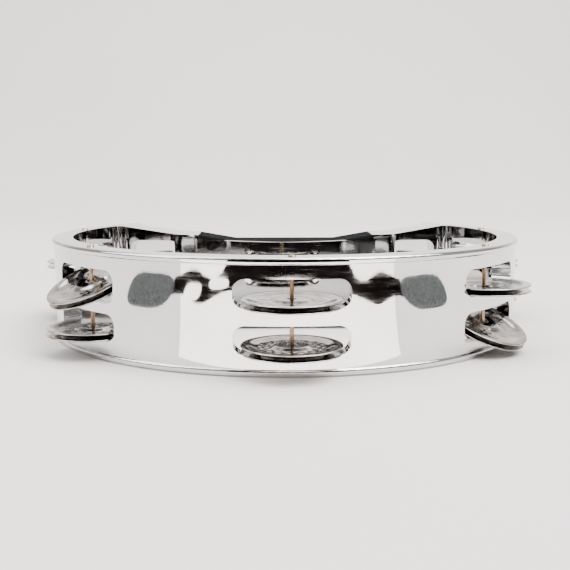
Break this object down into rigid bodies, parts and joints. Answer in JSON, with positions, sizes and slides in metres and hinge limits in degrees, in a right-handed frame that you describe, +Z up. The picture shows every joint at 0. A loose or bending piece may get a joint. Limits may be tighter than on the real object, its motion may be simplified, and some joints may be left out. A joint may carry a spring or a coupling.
{
  "type": "half-moon tambourine",
  "caption": "Half-moon hand tambourine: a plated shell with two rows of slots, paired metal jingles on pins, and a soft grip on its inner bar.",
  "frame": {"origin": "middle of the footprint, on the plane that the shell rests on", "axes": "+X to the player's right along the bar, -Y towards the front of the arc, +Z up along the pins"},
  "size_m": [0.2819, 0.224, 0.0526],
  "materials": {
    "plated_shell": "mirror-bright plating on moulded plastic",
    "grip": "matte moulded",
    "pin": "drawn wire",
    "jingle": "bright plated steel sheet, lightly hammered"
  },
  "bodies": {
    "frame": {"shell": "plated_shell", "grip": "grip", "pin_left_back": "pin", "pin_left_front": "pin", "pin_front": "pin", "pin_right_front": "pin", "pin_right_back": "pin"},
    "left_back_lower_bottom": {"jingle_left_back_lower_bottom": "jingle"},
    "left_back_lower_top": {"jingle_left_back_lower_top": "jingle"},
    "left_back_upper_bottom": {"jingle_left_back_upper_bottom": "jingle"},
    "left_back_upper_top": {"jingle_left_back_upper_top": "jingle"},
    "left_front_lower_bottom": {"jingle_left_front_lower_bottom": "jingle"},
    "left_front_lower_top": {"jingle_left_front_lower_top": "jingle"},
    "left_front_upper_bottom": {"jingle_left_front_upper_bottom": "jingle"},
    "left_front_upper_top": {"jingle_left_front_upper_top": "jingle"},
    "front_lower_bottom": {"jingle_front_lower_bottom": "jingle"},
    "front_lower_top": {"jingle_front_lower_top": "jingle"},
    "front_upper_bottom": {"jingle_front_upper_bottom": "jingle"},
    "front_upper_top": {"jingle_front_upper_top": "jingle"},
    "right_front_lower_bottom": {"jingle_right_front_lower_bottom": "jingle"},
    "right_front_lower_top": {"jingle_right_front_lower_top": "jingle"},
    "right_front_upper_bottom": {"jingle_right_front_upper_bottom": "jingle"},
    "right_front_upper_top": {"jingle_right_front_upper_top": "jingle"},
    "right_back_lower_bottom": {"jingle_right_back_lower_bottom": "jingle"},
    "right_back_lower_top": {"jingle_right_back_lower_top": "jingle"},
    "right_back_upper_bottom": {"jingle_right_back_upper_bottom": "jingle"},
    "right_back_upper_top": {"jingle_right_back_upper_top": "jingle"}
  },
  "joints": [
    {"name": "left_back_lower_lift", "type": "slide", "parent": "frame", "child": "left_back_lower_bottom", "axis": [0, 0, 1], "range_m": [0, 0.0083]},
    {"name": "left_back_lower_spin", "type": "hinge", "parent": "left_back_lower_bottom", "child": "left_back_lower_top", "pos_m": [-0.11845, 0.05906, 0.01161], "axis": [0, 0, 1], "continuous": true},
    {"name": "left_back_upper_lift", "type": "slide", "parent": "frame", "child": "left_back_upper_bottom", "axis": [0, 0, 1], "range_m": [0, 0.0083]},
    {"name": "left_back_upper_spin", "type": "hinge", "parent": "left_back_upper_bottom", "child": "left_back_upper_top", "pos_m": [-0.11845, 0.05906, 0.03201], "axis": [0, 0, 1], "continuous": true},
    {"name": "left_front_lower_lift", "type": "slide", "parent": "frame", "child": "left_front_lower_bottom", "axis": [0, 0, 1], "range_m": [0, 0.0083]},
    {"name": "left_front_lower_spin", "type": "hinge", "parent": "left_front_lower_bottom", "child": "left_front_lower_top", "pos_m": [-0.09499, -0.04373, 0.01161], "axis": [0, 0, 1], "continuous": true},
    {"name": "left_front_upper_tip", "type": "hinge", "parent": "frame", "child": "left_front_upper_bottom", "pos_m": [-0.09421, -0.04311, 0.03445], "axis": [-0.6235, 0.7818, 0], "range_deg": [0, 42]},
    {"name": "left_front_upper_spin", "type": "hinge", "parent": "left_front_upper_bottom", "child": "left_front_upper_top", "pos_m": [-0.09499, -0.04373, 0.03445], "axis": [-0.3304, -0.2635, 0.9063], "continuous": true},
    {"name": "front_lower_lift", "type": "slide", "parent": "frame", "child": "front_lower_bottom", "axis": [0, 0, 1], "range_m": [0, 0.0083]},
    {"name": "front_lower_spin", "type": "hinge", "parent": "front_lower_bottom", "child": "front_lower_top", "pos_m": [0, -0.08948, 0.01161], "axis": [0, 0, 1], "continuous": true},
    {"name": "front_upper_lift", "type": "slide", "parent": "frame", "child": "front_upper_bottom", "axis": [0, 0, 1], "range_m": [0, 0.0083]},
    {"name": "front_upper_spin", "type": "hinge", "parent": "front_upper_bottom", "child": "front_upper_top", "pos_m": [0, -0.08948, 0.03201], "axis": [0, 0, 1], "continuous": true},
    {"name": "right_front_lower_tip", "type": "hinge", "parent": "frame", "child": "right_front_lower_bottom", "pos_m": [0.09421, -0.04311, 0.01405], "axis": [-0.6235, -0.7818, 0], "range_deg": [0, 42]},
    {"name": "right_front_lower_spin", "type": "hinge", "parent": "right_front_lower_bottom", "child": "right_front_lower_top", "pos_m": [0.09499, -0.04373, 0.01405], "axis": [0.3304, -0.2635, 0.9063], "continuous": true},
    {"name": "right_front_upper_lift", "type": "slide", "parent": "frame", "child": "right_front_upper_bottom", "axis": [0, 0, 1], "range_m": [0, 0.0083]},
    {"name": "right_front_upper_spin", "type": "hinge", "parent": "right_front_upper_bottom", "child": "right_front_upper_top", "pos_m": [0.09499, -0.04373, 0.03201], "axis": [0, 0, 1], "continuous": true},
    {"name": "right_back_lower_lift", "type": "slide", "parent": "frame", "child": "right_back_lower_bottom", "axis": [0, 0, 1], "range_m": [0, 0.0083]},
    {"name": "right_back_lower_spin", "type": "hinge", "parent": "right_back_lower_bottom", "child": "right_back_lower_top", "pos_m": [0.11845, 0.05906, 0.01161], "axis": [0, 0, 1], "continuous": true},
    {"name": "right_back_upper_lift", "type": "slide", "parent": "frame", "child": "right_back_upper_bottom", "axis": [0, 0, 1], "range_m": [0, 0.0083]},
    {"name": "right_back_upper_spin", "type": "hinge", "parent": "right_back_upper_bottom", "child": "right_back_upper_top", "pos_m": [0.11845, 0.05906, 0.03201], "axis": [0, 0, 1], "continuous": true}
  ]
}
